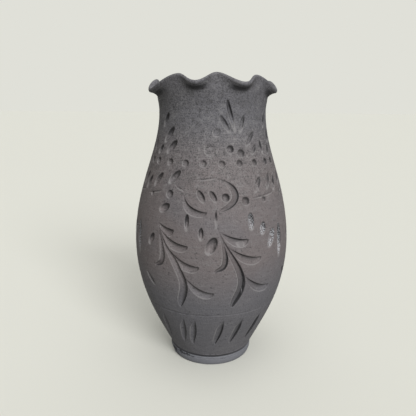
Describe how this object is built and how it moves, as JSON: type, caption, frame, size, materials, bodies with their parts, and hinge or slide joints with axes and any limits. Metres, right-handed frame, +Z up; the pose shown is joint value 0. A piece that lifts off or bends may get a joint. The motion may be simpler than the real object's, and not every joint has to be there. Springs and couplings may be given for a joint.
{
  "type": "carved clay vase",
  "caption": "Matte black hand-built clay vase with a ruffled rim, a narrow neck, a full belly carved with ferns and flowers, and a small foot ring.",
  "frame": {"origin": "centre of the foot ring's underside", "axes": "+Z up along the vase's axis, -Y towards the carved front"},
  "size_m": [0.164, 0.164, 0.3],
  "materials": {
    "black_clay": "matte"
  },
  "bodies": {
    "root": {"foot_ring": "black_clay", "base_disc": "black_clay", "lower_wall": "black_clay", "lower_belly_coil": "black_clay", "upper_belly_coil": "black_clay", "shoulder_coil": "black_clay", "neck_coil": "black_clay", "ruffled_rim": "black_clay"}
  },
  "joints": []
}
